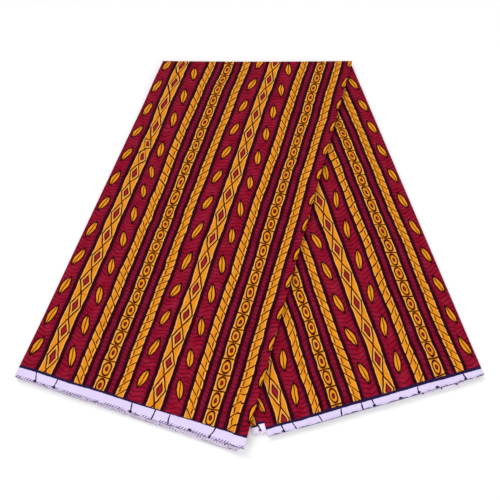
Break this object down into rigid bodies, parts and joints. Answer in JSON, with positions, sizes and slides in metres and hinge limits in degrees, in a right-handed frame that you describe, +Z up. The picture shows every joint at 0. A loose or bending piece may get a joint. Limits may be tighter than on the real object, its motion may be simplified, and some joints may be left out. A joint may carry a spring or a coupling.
{
  "type": "wax print fabric",
  "caption": "Length of wax print cotton, folded to and fro into a strip and doubled over a slanting fold, so that it lies flat as two wings with the selvedges at the bottom.",
  "frame": {"origin": "on the surface that the cloth lies on, under the middle of its outline", "axes": "+Z up; +Y towards the doubled fold and away from the selvedges; +X towards the wing that lies underneath"},
  "size_m": [0.6164, 0.6258, 0.0108],
  "materials": {
    "printed_face": "crimson and gold wax print on plain woven cotton, pale lilac selvedge, slight calendered sheen",
    "folded_layers": "the same print on the folds and ends of the layers underneath"
  },
  "bodies": {
    "root": {"left_panel": "printed_face", "left_layers": "folded_layers", "right_panel": "printed_face", "right_layers": "folded_layers", "top_fold": "printed_face", "top_fold_layers": "folded_layers"}
  },
  "joints": []
}
